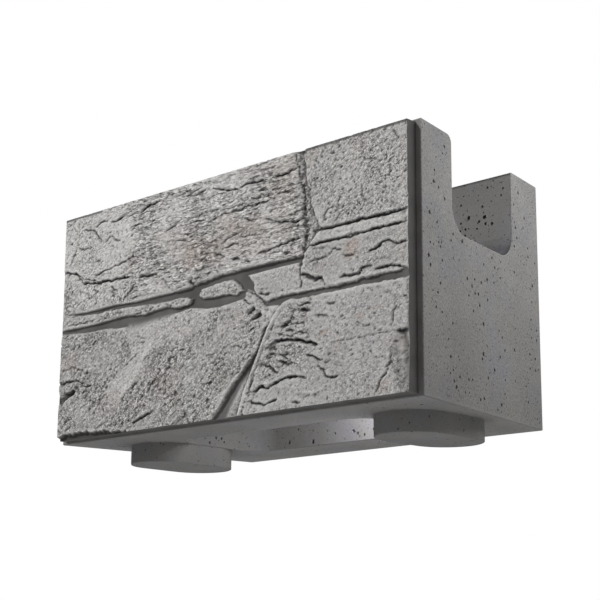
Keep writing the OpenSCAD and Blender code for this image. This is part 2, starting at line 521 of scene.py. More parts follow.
def near_line(points, x, z):
    """Distance of places from a line, whether they lie under it, and their run along it both ways."""
    line = np.array(points, float)
    lengths = np.hypot(*np.diff(line, axis=0).T)
    starts = np.concatenate([[0], np.cumsum(lengths)])
    nearest = np.full(x.shape, np.inf)
    under = np.zeros(x.shape)
    run = np.zeros(x.shape)
    for corner, after, start, length in zip(line, line[1:], starts, lengths):
        step_x, step_z = (after - corner) / length
        off_x, off_z = x - corner[0], z - corner[1]
        along = np.clip(off_x * step_x + off_z * step_z, 0, length)
        distance = np.hypot(off_x - along * step_x, off_z - along * step_z)
        closer = distance < nearest
        nearest = np.where(closer, distance, nearest)
        under = np.where(closer, off_z * step_x < off_x * step_z, under)
        run = np.where(closer, start + along, run)
    return nearest, under, run, starts[-1] - run


def crack(depth, width, points):
    """Depth of a crack's groove everywhere on the face, and of the flake that is missing beside it."""
    distance, under, run, rest = near_line(points, cracked_x, cracked_z)
    taper = np.clip(np.minimum(run, rest) / 25 + 0.3, 0, 1)
    uneven = np.clip(0.9 + smooth_noise(run / 14, 0 * run, 28), 0.2, 1.3)
    groove = np.exp(-((distance / width) ** 2))
    flake = under * np.exp(-distance / FLAKE_REACH) * np.clip(taper * 2 - 0.6, 0, 1)
    return depth * taper * uneven * groove, 0.4 * depth * flake


def ridge(height, width, points):
    """Height of a rounded ridge along a line, and far below the face elsewhere."""
    distance, _, _, _ = near_line(points, across, rise)
    return height * (1 - (distance / width) ** 4 * 0.2) - np.where(distance > 2 * width, height, 0)


cracked_x = across + 3.0 * rough_noise(across / 22, rise / 22, 20)
cracked_z = rise + 3.0 * rough_noise(across / 22, rise / 22, 24)

# %% List the cracks of the long slab
# Depth, width, and points across and up
SLAB_CRACKS = [
    (4, 2, [(-406, 324), (-405, 306)]),
    (4, 2, [(-345, 304), (-300, 301), (-262, 305), (-235, 302)]),
    (4, 2, [(-185, 316), (-170, 304), (-150, 300)]),
    (3, 2, [(-262, 322), (-232, 317), (-205, 318)]),
    (3, 2, [(-560, 312), (-500, 310), (-455, 313)]),
    (10, 2, [(-600, 458), (-575, 455), (-550, 450), (-515, 418), (-475, 410), (-395, 407), (-325, 406)]),
    (4.5, 2, [(-550, 452), (-510, 428), (-470, 418), (-445, 412)]),
    (4.5, 2, [(-470, 431), (-420, 437), (-345, 448), (-315, 455), (-305, 475)]),
    (5, 2, [(-512, 562), (-470, 553), (-455, 533), (-437, 520)]),
    (4.5, 2, [(-470, 558), (-450, 573), (-415, 568)]),
    (7, 2, [(-405, 565), (-385, 563), (-352, 570)]),
    (7, 2, [(-290, 562), (-275, 573), (-250, 580), (-212, 581)]),
    (3.5, 2, [(-540, 520), (-520, 510), (-475, 510)]),
    (3, 2, [(-575, 468), (-555, 500), (-540, 525)]),
    (3.5, 2, [(-430, 512), (-410, 525), (-395, 522), (-380, 510), (-365, 507)]),
    (3.5, 2, [(-465, 465), (-440, 472)]),
    (7, 2, [(-400, 392), (-385, 381), (-370, 375)]),
    (4.5, 2, [(-410, 381), (-385, 373)]),
    (4.5, 2, [(-395, 368), (-383, 358)]),
    (6, 2, [(-290, 397), (-250, 396), (-205, 392)]),
    (4.5, 2, [(-345, 352), (-320, 370), (-300, 390)]),
    (6, 2, [(-115, 575), (-95, 574)]),
    (7, 2, [(-75, 568), (-60, 575), (-40, 576)]),
    (6, 2, [(-20, 573), (0, 570), (15, 562), (50, 559), (80, 553)]),
    (6, 2, [(80, 556), (110, 560), (170, 556)]),
    (4.5, 2, [(115, 552), (135, 551)]),
    (6, 2, [(195, 560), (215, 555), (250, 562), (265, 566)]),
    (6, 2, [(200, 515), (240, 514), (258, 511)]),
    (6, 2, [(200, 448), (225, 443), (265, 436), (285, 440)]),
    (6, 2, [(200, 387), (250, 393), (285, 397)]),
    (4.5, 2, [(50, 500), (95, 504), (140, 504), (185, 506)]),
    (4.5, 2, [(95, 475), (110, 470), (125, 468)]),
    (4.5, 2, [(-5, 407), (15, 400), (30, 395)]),
    (4.5, 2, [(30, 415), (60, 420), (75, 418)]),
    (6, 2, [(55, 382), (75, 382), (85, 378)]),
    (4.5, 2, [(100, 372), (118, 364)]),
    (3, 2, [(15, 428), (50, 440), (80, 443)]),
    (8, 3, [(-98, 354), (-85, 349), (-72, 351)]),
    (5, 2, [(-72, 357), (-55, 359)]),
    (4.5, 2, [(-40, 362), (-15, 365)]),
    (5, 2, [(-320, 525), (-300, 535), (-280, 536)]),
    (3, 2, [(-190, 496), (-150, 506), (-120, 520)]),
    (5.5, 2, [(140, 383), (170, 384), (200, 387)]),
    (4.5, 2, [(165, 463), (185, 455), (205, 446)]),
]

# %% List the cracks of the stones at the top right
# Depth, width, and points across and up
RIGHT_CRACKS = [
    (6, 2.2, [(262, 604), (272, 550), (285, 500), (290, 450)]),
    (4, 2, [(383, 450), (365, 448), (352, 435), (347, 420)]),
    (4.5, 2, [(405, 433), (395, 428), (380, 412), (375, 408)]),
    (3, 2, [(530, 470), (540, 440)]),
    (3, 2, [(555, 585), (565, 575), (575, 560)]),
    (8, 2, [(325, 405), (360, 403), (480, 404), (596, 404)]),
    (7.5, 2, [(305, 371), (345, 374), (400, 372), (520, 376), (596, 376)]),
    (4, 2, [(303, 334), (350, 337), (365, 338)]),
    (5, 2, [(365, 338), (375, 350), (385, 352), (400, 345), (405, 340)]),
    (5, 2, [(405, 331), (445, 326)]),
    (7.5, 2, [(480, 327), (500, 328), (522, 342), (545, 340), (565, 331), (596, 331)]),
    (7.5, 2, [(400, 285), (452, 283), (465, 293), (475, 296), (492, 292)]),
    (7.5, 2, [(498, 284), (530, 286), (560, 284), (592, 270)]),
    (10.5, 2.6, [(278, 312), (300, 305), (320, 293), (345, 292)]),
    (4.5, 2, [(345, 290), (350, 277), (360, 270)]),
    (3, 2, [(310, 365), (345, 362), (365, 358)]),
    (2, 2, [(510, 307), (540, 303)]),
    (4.5, 2, [(278, 334), (278, 270)]),
    (6, 2, [(140, 285), (160, 284), (185, 281)]),
    (4.5, 2, [(102, 300), (125, 290), (140, 280), (165, 255)]),
]

# %% List the cracks of the large stone at the bottom left
# Depth, width, and points across and up
BOTTOM_LEFT_CRACKS = [
    (6, 2, [(-600, 155), (-570, 158), (-515, 157), (-500, 150), (-485, 147)]),
    (8, 6, [(-600, 112), (-570, 122), (-540, 128), (-515, 143)]),
    (4, 2, [(-500, 140), (-470, 137), (-450, 140)]),
    (3, 2, [(-480, 128), (-465, 124)]),
    (5, 2, [(-485, 174), (-466, 173)]),
    (2.5, 2, [(-600, 198), (-575, 190), (-540, 195), (-485, 178)]),
    (4, 2, [(-455, 97), (-440, 92)]),
    (3, 2, [(-350, 75), (-335, 85), (-315, 105), (-305, 112)]),
    (4, 2, [(-300, 112), (-285, 122), (-270, 130)]),
    (3, 2, [(-330, 170), (-310, 180), (-290, 193), (-270, 199)]),
    (4, 2, [(-255, 172), (-245, 184), (-225, 190)]),
    (4, 2, [(-240, 93), (-230, 105), (-200, 140)]),
    (6, 2.6, [(-300, 25), (-260, 35), (-240, 42), (-215, 48)]),
    (4, 2, [(-310, 15), (-300, 20)]),
    (3, 2, [(-440, 22), (-425, 30), (-400, 38)]),
    (2.5, 2, [(-285, 245), (-265, 237), (-240, 235)]),
    (3, 2, [(-285, 223), (-270, 225), (-245, 228)]),
    (4, 2, [(-125, 187), (-110, 188)]),
    (4, 2, [(-130, 65), (-122, 63)]),
    (3, 2, [(-100, 62), (-80, 58), (-65, 65)]),
    (3, 2, [(-90, 72), (-60, 72)]),
    (3.5, 2, [(-30, 55), (-10, 58)]),
    (3, 2, [(50, 172), (75, 171), (95, 169)]),
    (3, 2, [(115, 171), (140, 171)]),
    (4, 2, [(65, 105), (80, 109), (95, 104)]),
]

# %% List the cracks of the large stone at the bottom right
# Depth, width, and points across and up
BOTTOM_RIGHT_CRACKS = [
    (11.5, 3.2, [(168, 150), (185, 158), (200, 166), (240, 166), (268, 160), (300, 152), (332, 142)]),
    (6, 2.2, [(205, 196), (225, 200), (240, 205), (255, 216), (262, 228)]),
    (7, 2.5, [(172, 133), (183, 139), (198, 138), (203, 131)]),
    (6, 3, [(145, 118), (165, 117), (185, 108), (200, 98), (215, 88)]),
    (6, 2.5, [(165, 158), (180, 151), (195, 153), (205, 146)]),
    (5, 2, [(205, 138), (222, 132), (240, 120), (252, 108)]),
    (5, 2, [(225, 139), (245, 134)]),
    (4.5, 2, [(200, 197), (225, 197), (270, 199), (300, 198)]),
    (3.5, 2, [(205, 180), (240, 183)]),
    (4.5, 2, [(250, 175), (280, 176), (300, 173)]),
    (8.5, 2, [(298, 124), (315, 118), (335, 108), (350, 103)]),
    (4.5, 2, [(352, 98), (365, 97)]),
    (7, 2, [(335, 92), (350, 85), (358, 68), (372, 63), (398, 65)]),
    (8.5, 2.2, [(110, 55), (130, 58), (155, 68), (175, 60), (215, 75), (260, 80), (300, 72)]),
    (7, 2, [(100, 37), (125, 35), (150, 28), (170, 25), (210, 33)]),
    (7, 2, [(170, 132), (195, 130)]),
    (6, 2, [(210, 122), (235, 110), (250, 106)]),
    (6, 2, [(270, 240), (290, 238), (315, 240)]),
    (8.5, 3.2, [(275, 228), (300, 225), (310, 222)]),
    (5, 2, [(360, 231), (395, 229)]),
    (5, 2, [(325, 208), (345, 208), (365, 200)]),
    (3.5, 2, [(565, 200), (555, 185), (550, 160), (548, 150)]),
    (7, 2, [(550, 120), (565, 119)]),
    (4.5, 2, [(500, 15), (515, 40), (530, 55), (545, 80), (548, 105)]),
    (1.8, 1.6, [(372, 141), (420, 142), (475, 139), (500, 142), (545, 141), (567, 141)]),
    (9, 3, [(562, 139), (578, 138), (598, 137)]),
    (7, 2.2, [(226, 131), (242, 131)]),
    (7, 2.2, [(232, 183), (248, 185), (263, 183)]),
    (6, 2, [(255, 20), (270, 20), (282, 18)]),
]

# %% [markdown]
# ## The finished relief
#
# Now the layers go over the stones' main shapes. Each stone has its own character: the long slab is
# finely bedded, the one beside it is pitted, the one at the bottom left has slanting ripples, and the
# joints between them are almost smooth. A few hollows at the panel's edges show the bed behind. Then
# the edges of the panel are chipped a little.
#
# Three things need more care than the rays give. Some joints are read again from the photograph and opened
# down to the bed, and some gaps between stones are filled. A thin rib runs down beside the slanting
# joint, with broken stone against it. And the bottom left corner is worn back to the bed, along an edge
# that noise makes ragged.

# %% Mark out the stones
long_slab = patch([(-640, 340), (280, 345), (292, 450), (266, 640), (-640, 640)], 10)
smooth_left = patch([(-640, 465), (-520, 425), (-400, 415), (-310, 465), (-330, 560), (-640, 640)], 30)
slanting_left = patch([(-640, 340), (-320, 340), (-320, 400), (-500, 412), (-640, 460)], 12)
pitted_right = patch([(280, 410), (640, 410), (640, 640), (280, 640)], 8)
bottom_left = patch([(-640, -20), (0, -20), (160, 150), (160, 270), (-640, 290)], 10)
bottom_right = patch([(90, -20), (640, -20), (640, 255), (220, 255), (150, 150)], 10)
shattered = patch([(150, 85), (280, 105), (310, 150), (300, 245), (235, 245), (195, 190)], 14)
crumbled = patch([(90, 308), (150, 300), (178, 262), (165, 225), (112, 218), (92, 250)], 5)
pale_band = patch([(-410, 115), (-345, 78), (-225, 200), (-30, 232), (0, 285), (-330, 285), (-300, 190)], 14)
WORN_EDGE = [(-640, -20), (-330, -20), (-310, 6), (-400, 14), (-480, 20), (-560, 20), (-640, 12)]
worn_corner = patch(WORN_EDGE, 9) + 0.45 * rough_noise(across / 16, rise / 12, 38)
worn_corner = np.clip(3 * worn_corner - 1, 0, 1)
rough_strip = patch([(258, 640), (292, 640), (318, 470), (330, 412), (300, 345), (282, 345), (290, 450)], 4)
smooth_courses = patch([(110, 262), (640, 262), (640, 402), (305, 402), (285, 345), (110, 335)], 6)
narrow = (1 - long_slab) * (1 - pitted_right) * (1 - bottom_left) * (1 - bottom_right)
fine_bedding = long_slab * (1 - 0.7 * smooth_left) * (1 - slanting_left)
lively = 0.65 + 0.7 * patchy(110, 36)

# Level, softness of the edge, and corners across and up
FILLS = [
    (29.5, 5, [(146, 200), (166, 203), (200, 222), (216, 242), (190, 252), (158, 252), (140, 235)]),
    (28.5, 5, [(85, 268), (112, 278), (150, 264), (170, 250), (160, 208), (100, 215)]),
    (28, 2.5, [(268, 330), (290, 330), (290, 268), (268, 268)]),
    (28, 4, [(-640, 294), (-300, 290), (90, 288), (100, 250), (-640, 250)]),
]
for level, soft, corners in FILLS:
    cover = patch(corners, soft)
    stones += cover * np.clip(level - stones, 0, None)
    on_stone = np.maximum(on_stone, cover)

# Corners across and up
UPPER_JOINT = [
    *[(-590, 343), (-550, 339), (-500, 337), (-450, 337), (-400, 338), (-350, 337), (-300, 334)],
    *[(-230, 336), (-150, 336), (-95, 338), (-85, 317), (-130, 321), (-165, 317), (-200, 318)],
    *[(-250, 322), (-300, 323), (-350, 328), (-400, 331), (-440, 326), (-520, 332)],
]
LOWER_JOINT = [
    *[(-640, 299), (-550, 299), (-450, 299), (-400, 301), (-350, 304), (-300, 299), (-260, 296)],
    *[(-230, 300), (-180, 303), (-150, 296), (-120, 293), (-85, 299), (-60, 305), (0, 300)],
    *[(50, 294), (95, 298), (95, 284), (60, 279), (20, 275), (-30, 277), (-60, 283), (-90, 288)],
    *[(-120, 285), (-160, 282), (-200, 280), (-250, 275), (-280, 271), (-310, 275), (-370, 276)],
    *[(-400, 281), (-500, 283), (-550, 288), (-640, 293)],
]
SLAB_JOINT = [(80, 354), (180, 353), (276, 350), (277, 339), (180, 338), (80, 336)]
FOOT_JOINT = [
    *[(-22, -20), (0, 14), (20, 32), (38, 50), (58, 74), (80, 88), (97, 98), (108, 116), (122, 130)],
    *[(112, 92), (84, 40), (60, -20)],
]
for soft, corners in ((2.5, UPPER_JOINT), (2.5, LOWER_JOINT), (2.5, SLAB_JOINT), (3.5, FOOT_JOINT)):
    opened = patch(corners, soft)
    stones += opened * (bed - stones)
    on_stone *= 1 - opened
FOOT_LEVEL = 27
foot_slope = patch([(15, -40), (52, 30), (88, 78), (110, 100), (100, 30), (88, -40)], 12)
stones += foot_slope * np.clip(FOOT_LEVEL - stones, 0, None)
on_stone = np.maximum(on_stone, 0.75 * foot_slope)
print("share of fine bedding:", round(fine_bedding.mean(), 2))

# %% Give each stone its texture
texture = 1.8 * rough_noise(across / 150, rise / 110, 30, octaves=2)
texture += 0.8 * rough_noise(across / 11, rise / 8, 34, octaves=1)

bedding = 1.8 * flakes(2, 85, 18, 40) + 1.3 * flakes(1, 28, 7, 50)
bedding -= 1.1 * creases(2, 55, 11, 60) + 1.1 * creases(-6, 30, 8, 70)
texture += fine_bedding * lively * bedding
texture += long_slab * slanting_left * (2.4 * flakes(-24, 60, 16, 80) - 1.6 * creases(-24, 34, 11, 90))
texture += long_slab * smooth_left * (1.4 * flakes(-10, 70, 30, 100) - 1.0 * creases(10, 26, 14, 110))

pitted = 3.0 * pits(10, 0.3, 120) + 2.0 * pits(6, 0.36, 124)
texture += pitted_right * (0.8 * flakes(30, 30, 22, 130) - (0.2 + patchy(70, 128)) * pitted)

ripples = 2.2 * smooth_noise(*(part / size for part, size in zip(along_and_up(42), (150, 34))), 138)
ripples += 1.2 * flakes(44, 60, 22, 140) + 1.5 * flakes(25, 22, 10, 150)
ripples -= 1.5 * creases(30, 24, 9, 160) + 1.4 * pits(8, 0.38, 164)
texture += bottom_left * (1 - 0.75 * pale_band) * lively * ripples
texture += 2.5 * pale_band * bottom_left

smooth = 1.4 * flakes(-8, 90, 40, 170) + 0.6 * flakes(0, 26, 13, 180)
texture += bottom_right * (smooth - 1.8 * pits(8, 0.45, 190))
texture += shattered * (3.2 * flakes(-12, 60, 18, 194) - 2.0 * creases(-10, 40, 14, 196))
courses = 1.9 * flakes(2, 50, 14, 200) - 1.6 * creases(3, 26, 9, 210) - 2.0 * pits(8, 0.4, 214)
texture += narrow * (1 - 0.6 * smooth_courses) * courses
texture += crumbled * (2.5 * flakes(-40, 26, 12, 220) - 3.0 * creases(-40, 34, 10, 224))
texture += rough_strip * (2.5 * flakes(75, 26, 12, 216) - 1.5 * creases(80, 24, 10, 218))

grooves = np.zeros(across.shape)
missing = np.zeros(across.shape)
for depth, width, points in SLAB_CRACKS + RIGHT_CRACKS + BOTTOM_LEFT_CRACKS + BOTTOM_RIGHT_CRACKS:
    groove, flake = crack(depth, width, points)
    grooves = np.maximum(grooves, groove)
    missing = np.maximum(missing, flake)
print("deepest crack in mm:", round(grooves.max(), 1))

# %% Put the relief together
# Depth, softness of the edge, and corners across and up
HOLLOWS = [
    (5, 8, [(-175, -20), (-80, -20), (-92, 24), (-102, 42)]),
    (7, 7, [(-640, 100), (-575, 106), (-535, 128), (-575, 130), (-640, 122)]),
    (6, 14, [(575, 140), (640, 144), (640, 20), (605, 30), (585, 100)]),
    (4, 6, [(588, 255), (640, 255), (640, 140), (594, 150)]),
    (8, 2, [(110, 242), (124, 257), (132, 253), (120, 243)]),
    (9, 2, [(120, 226), (150, 247), (154, 233), (138, 226)]),
]
hollows = sum(depth * patch(corners, soft) for depth, soft, corners in HOLLOWS)

RIB_LINE = [
    *[(268, 247), (248, 252), (230, 249), (210, 237), (193, 216), (178, 196), (160, 163), (145, 135)],
    *[(128, 103), (105, 62), (86, 12), (80, -10)],
]
RIB_HEIGHT = 31.5
RIB_HALF_WIDTH = 6.5
bead = ridge(RIB_HEIGHT, RIB_HALF_WIDTH, RIB_LINE)
BESIDE_RIB = [
    *[(240, 249), (212, 236), (195, 214), (178, 192), (160, 160), (128, 100), (90, 10)],
    *[(108, 0), (145, 70), (190, 140), (225, 205), (255, 240)],
]
BESIDE_RIB_LEVEL = 28.5
beside_rib = patch(BESIDE_RIB, 4)
rubble = 3.0 * flakes(60, 40, 14, 230) + 2.0 * flakes(20, 20, 12, 240) - 2.0 * creases(75, 30, 10, 250)

to_side = across.max() - abs(across)
to_border = np.minimum(to_side, np.minimum(rise - rise.min(), rise.max() - rise))
chips = np.clip(1 - to_border / 6, 0, 1) * np.clip(8 * rough_noise(across / 25, rise / 25, 260) - 3, 0, 8)
chips *= across > across.min() + 12
joint_grain = 0.5 * rough_noise(across / 30, rise / 20, 270)
joint_ends = np.where(rise < rise.max() - 20, 28 - 0.3 * to_side, 0)

to_ends = np.minimum(rise.max() - rise, across - across.min())
calm = np.clip(to_ends / 10, 0.2, 1)
on_stone *= 1 - worn_corner
on_face = on_stone * (calm * (texture - missing) - grooves - chips) + (1 - on_stone) * joint_grain
relief = np.maximum(stones + on_face - hollows, joint_ends - chips)
relief += worn_corner * (bed - relief)
relief = np.maximum(relief, beside_rib * (BESIDE_RIB_LEVEL + rubble))
relief = np.maximum(relief, bead + 0.6 * joint_grain)
relief = np.clip(relief, bed - 2, (strip_y - cad_low.y) / MM)
on_rib = bead > relief - 1
in_bed = (1 - on_stone) * (1 - beside_rib) * (1 - on_rib)
soft_edge = patch([(-330, 260), (-180, 262), (-150, 285), (-330, 282)], 8)
print("relief in mm:", round(relief.min(), 1), "to", round(relief.max(), 1))

# %% [markdown]
# ## Tones, painted light and shade of the face
#
# The stones are not evenly grey, nor evenly lit. The top left is painted pale, as light from the upper
# left, bright bands are painted along ridges and the rib as highlights, and painted shade darkens places
# that lean away from the light, such as the edge that falls back at the bottom right. A few paler and
# darker patches are the stone's own tone, and some places are brown from iron in the stone. These soft
# patches are placed one by one too, and the finish reads them as numbers on the points: more than 0
# for paler places and less than 0 for darker ones.

# %% Place the tones
# Painted light and shade, and a few patches of the stone's own tone.
# Strength, softness of the edge, and corners across and up
TONE_AND_LIGHT_PLACES = [
    (0.85, 40, [(-640, 340), (280, 345), (266, 640), (-640, 640)]),
    (0.5, 7, [(-338, 100), (-225, 222), (-215, 214), (-322, 92)]),
    (0.4, 6, [(-262, 78), (-180, 160), (-172, 152), (-250, 70)]),
    (0.4, 6, [(-196, 140), (-120, 232), (-110, 226), (-184, 132)]),
    (0.25, 20, [(310, 415), (640, 415), (640, 640), (280, 640)]),
    (0.4, 4, [(78, 0), (98, 10), (190, 190), (240, 245), (232, 256), (205, 240), (170, 198), (80, 10)]),
    (0.5, 4, [(330, 399), (640, 399), (640, 380), (310, 378)]),
    (-0.15, 30, [(90, -20), (640, -20), (640, 255), (220, 255)]),
    (-0.2, 15, [(290, 395), (640, 395), (640, 275), (290, 275)]),
    (0.9, 90, [(-640, 400), (-430, 420), (-330, 640), (-640, 640)]),
    (0.35, 60, [(-300, 640), (-330, 400), (0, 380), (60, 640)]),
    (0.35, 25, [(-410, 115), (-345, 78), (-225, 200), (-30, 232), (0, 285), (-270, 285), (-300, 190)]),
    (0.4, 10, [(-275, 400), (-205, 396), (-200, 362), (-280, 358)]),
    (0.3, 20, [(155, 250), (200, 255), (195, 215), (160, 205)]),
    (-0.4, 12, [(268, 560), (300, 420), (330, 420), (318, 470), (290, 560)]),
    (-0.35, 25, [(-120, 370), (30, 385), (20, 345), (-90, 345)]),
    (-1.0, 18, [(556, 140), (640, 146), (640, -20), (570, -20), (548, 60)]),
    (-0.4, 25, [(-20, 90), (40, 60), (110, 130), (60, 140)]),
    (-0.3, 30, [(-620, 175), (-480, 165), (-500, 120), (-620, 110)]),
]
BROWN_PLACES = [
    (0.6, 25, [(-60, 600), (260, 600), (270, 480), (120, 520), (0, 560)]),
    (0.6, 25, [(20, 500), (150, 480), (150, 430), (40, 440)]),
    (0.4, 40, [(-330, 500), (-60, 500), (270, 480), (270, 370), (60, 370), (-140, 410), (-330, 420)]),
    (0.7, 30, [(-120, 455), (20, 440), (10, 375), (-110, 380)]),
    (0.6, 20, [(-350, 460), (-280, 450), (-285, 400), (-350, 410)]),
    (0.5, 20, [(-215, 515), (-150, 510), (-150, 475), (-210, 480)]),
    (1.2, 14, [(410, 364), (448, 366), (452, 322), (416, 320)]),
    (0.8, 14, [(150, 128), (185, 125), (190, 100), (155, 100)]),
    (1.3, 4, [(448, 196), (470, 194), (472, 180), (452, 182)]),
    (1.3, 4, [(340, 168), (366, 172), (362, 162), (342, 160)]),
    (1.2, 3, [(488, 201), (526, 201), (526, 194), (490, 195)]),
    (1.0, 5, [(196, 205), (208, 205), (212, 180), (204, 180)]),
    (0.7, 14, [(480, 40), (540, 40), (540, 5), (480, 5)]),
    (0.6, 14, [(290, 600), (345, 600), (300, 520), (285, 520)]),
    (0.7, 20, [(540, 605), (605, 605), (605, 480), (580, 540)]),
    (0.6, 25, [(-590, 245), (-520, 240), (-520, 180), (-590, 190)]),
    (0.6, 30, [(-430, 110), (-330, 110), (-350, 40), (-420, 50)]),
    (0.6, 30, [(-230, 150), (-120, 160), (-120, 40), (-200, 60)]),
]
tone_and_light = sum(strength * patch(corners, soft) for strength, soft, corners in TONE_AND_LIGHT_PLACES)
brown = sum(strength * patch(corners, soft) for strength, soft, corners in BROWN_PLACES)
coarse = 0.45 + 0.5 * long_slab * (1 - 0.4 * smooth_left) + 0.4 * bottom_left * (1 - pale_band)
coarse += 0.2 * pitted_right - 0.12 * bottom_right + 0.3 * narrow + 0.4 * shattered + 0.4 * rough_strip
coarse *= on_stone * lively * (1 - 0.45 * smooth_courses)
coarse *= 1 - 0.7 * patch([(157, 205), (180, 203), (200, 235), (190, 250), (150, 248)], 5)
coarse *= 1 - 0.8 * patch([(560, 136), (640, 136), (640, 20), (590, 30), (566, 90)], 8)
print("share of brown places:", round((brown > 0.3).mean(), 2))

# %% [markdown]
# ## One closed casting
#
# The grid of heights becomes a sheet of quads in front of the bare strip. Walls close it back to the
# strip's plane, and the strip itself is filled again round the foot of those walls, so the casting
# stays one closed mesh. The points also keep numbers for the finish, such as how much they lie in a
# joint, and how deep they lie below the stone around them, which the finish paints as shade in hollows
# and as light on bumps.

# %% Lay the relief on the casting
def blur(field, reach):
    """The field's mean over a few grid points each way."""
    padded = np.pad(field, reach, mode="edge")
    window = np.ones(2 * reach + 1) / (2 * reach + 1)
    rows = np.apply_along_axis(np.convolve, 1, padded, window, mode="valid")
    return np.apply_along_axis(np.convolve, 0, rows, window, mode="valid")


def layer(name):
    """A number that every point of the casting carries to the finish."""
    return casting.verts.layers.float.new(name)


relief += soft_edge * (blur(blur(relief, 3), 3) - relief)
# Painted shade: the joint's dark paint is softened here too, so that it fades down the bed.
in_bed += soft_edge * (blur(blur(in_bed, 4), 4) - in_bed)
# Painted shade along the panel's top edge at both ends, in the worn corner and in the cracks.
top_edge_shade = (rise > rise.max() - 6) & ((across < -440) | (across > 265))
worn_corner_shade = np.clip(2 * blur(worn_corner, 1), 0, 1)
crack_and_edge_shade = np.maximum(np.clip(grooves / 5, 0, 1), 0.8 * np.maximum(top_edge_shade, worn_corner_shade))
# Painted shade for hollows and painted light for bumps, from how far each point lies below its neighbours.
hollow_shading = np.clip((blur(blur(relief, 2), 2) - relief) / 3, -1, 1)
face_layers = [
    (in_joint, in_bed),
    (hollow_shading_layer, hollow_shading),
    (layer("bedded"), fine_bedding),
    (layer("coarse"), coarse),
    (layer("crack"), crack_and_edge_shade),
    (layer("tone_and_light"), tone_and_light),
    (layer("brown"), brown),
]

sheet = np.empty(relief.shape, object)
for place in np.ndindex(relief.shape):
    x, z = panel_x[place[1]], panel_z[place[0]]
    sheet[place] = casting.verts.new((x, strip_y - relief[place] * MM, z))
    for name, field in face_layers:
        sheet[place][name] = field[place]
for row in range(FACE_ROWS):
    for column in range(FACE_COLUMNS):
        (a, b), (d, c) = sheet[row : row + 2, column : column + 2]
        face = casting.faces.new((a, b, c, d))
        face.smooth = True
        face.material_index = STONE

# %% Close the panel's edges
border = [*sheet[0, :-1], *sheet[:-1, -1], *sheet[-1, :0:-1], *sheet[:0:-1, 0]]
feet = [casting.verts.new((v.co.x, strip_y, v.co.z)) for v in border]
reveal_faces = []
for i, (top, foot) in enumerate(zip(border, feet)):
    j = (i + 1) % len(border)
    reveal_faces.append(casting.faces.new((top, foot, feet[j], border[j])))

strip_normal = strip[0].normal.copy()
outer_ring = max(outlines(strip), key=lambda ring: max(v.co.x for v in ring))
bmesh.ops.delete(casting, geom=strip, context="FACES")
for face in reveal_faces:
    face.material_index = REVEAL
for face in fill_side([outer_ring, feet], strip_normal):
    face.material_index = STRIP

open_edges = sum(len(e.link_faces) != 2 for e in casting.edges)
triangles = sum(len(f.verts) - 2 for f in casting.faces)
print("triangles:", triangles, "open edges:", open_edges)

# %% Make the casting an object
casting.normal_update()
block_mesh = bpy.data.meshes.new("cast_block")
casting.to_mesh(block_mesh)
casting.free()
block = bpy.data.objects.new("cast_block", block_mesh)
bpy.context.scene.collection.objects.link(block)
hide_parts("block")
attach(block, "root")
print("casting:", len(block_mesh.vertices), "points")

# %% [markdown]
# ## Shader maths as Python
#
# A finish is a small program, and drawing it node by node hides what it says. This class wraps one
# output socket, so that a sum or a product of sockets adds the Math nodes by itself. Any other node
# comes from one method, which takes the node's type, its settings and what goes into its sockets.

# %% Wrap a socket
class Socket:
    """An output of a node tree. Arithmetic on it adds Math nodes."""

    def __init__(self, tree, output=None):
        self.tree = tree
        self.output = output

    def node(self, kind, settings, inputs, output=0):
        """Adds a node, sets it up, fills or links its inputs, and gives one of its outputs."""
        made = self.tree.nodes.new("ShaderNode" + kind)
        for name, value in settings.items():
            setattr(made, name, value)
        for key, value in inputs.items():
            if isinstance(value, Socket):
                self.tree.links.new(value.output, made.inputs[key])
            else:
                made.inputs[key].default_value = value
        return Socket(self.tree, made.outputs[output] if made.outputs else None)

    def math(self, operation, first, second):
        return self.node("Math", {"operation": operation}, {0: first, 1: second})

    def __add__(self, other):
        return self.math("ADD", self, other)

    __radd__ = __add__

    def __sub__(self, other):
        return self.math("SUBTRACT", self, other)

    def __rsub__(self, other):
        return self.math("SUBTRACT", other, self)

    def __mul__(self, other):
        return self.math("MULTIPLY", self, other)

    __rmul__ = __mul__

    def beside(self, output):
        """Another output of the same node."""
        return Socket(self.tree, self.output.node.outputs[output])

    def rising(self, low, high):
        """0 where the value is below low, 1 above high, and in between in proportion."""
        return self.node("MapRange", {}, {"Value": self, "From Min": low, "From Max": high})


def tone(code):
    """A colour as the shader wants it, from a hex code of the screen's colour."""
    parts = [int(code[i : i + 2], 16) / 255 for i in (1, 3, 5)]
    return (*(p / 12.92 if p <= 0.04045 else ((p + 0.055) / 1.055) ** 2.4 for p in parts), 1)


def mixed(factor, first, second, blend="MIX"):
    """A colour between two, or a blend of the second over the first."""
    settings = {"data_type": "RGBA", "blend_type": blend}
    return factor.node("Mix", settings, {0: factor, 6: first, 7: second}, output=2)


def cloud(place, size, detail=2.0):
    """Noise over the surface, about 0.3 to 0.7, with features of a size in metres."""
    return place.node("TexNoise", {}, {"Vector": place, "Scale": 1 / size, "Detail": detail})


def plates(place, size):
    """Levels of small broken plates, 0 to 1, and the height above each plate's middle as a share of size."""
    level = place.node("TexVoronoi", {}, {"Vector": place, "Scale": 1 / size}, output="Color")
    above = place.node("VectorMath", {"operation": "SUBTRACT"}, {0: place, 1: level.beside("Position")})
    return level, place.node("SeparateXYZ", {}, {0: above}, output="Z") * (1 / size)


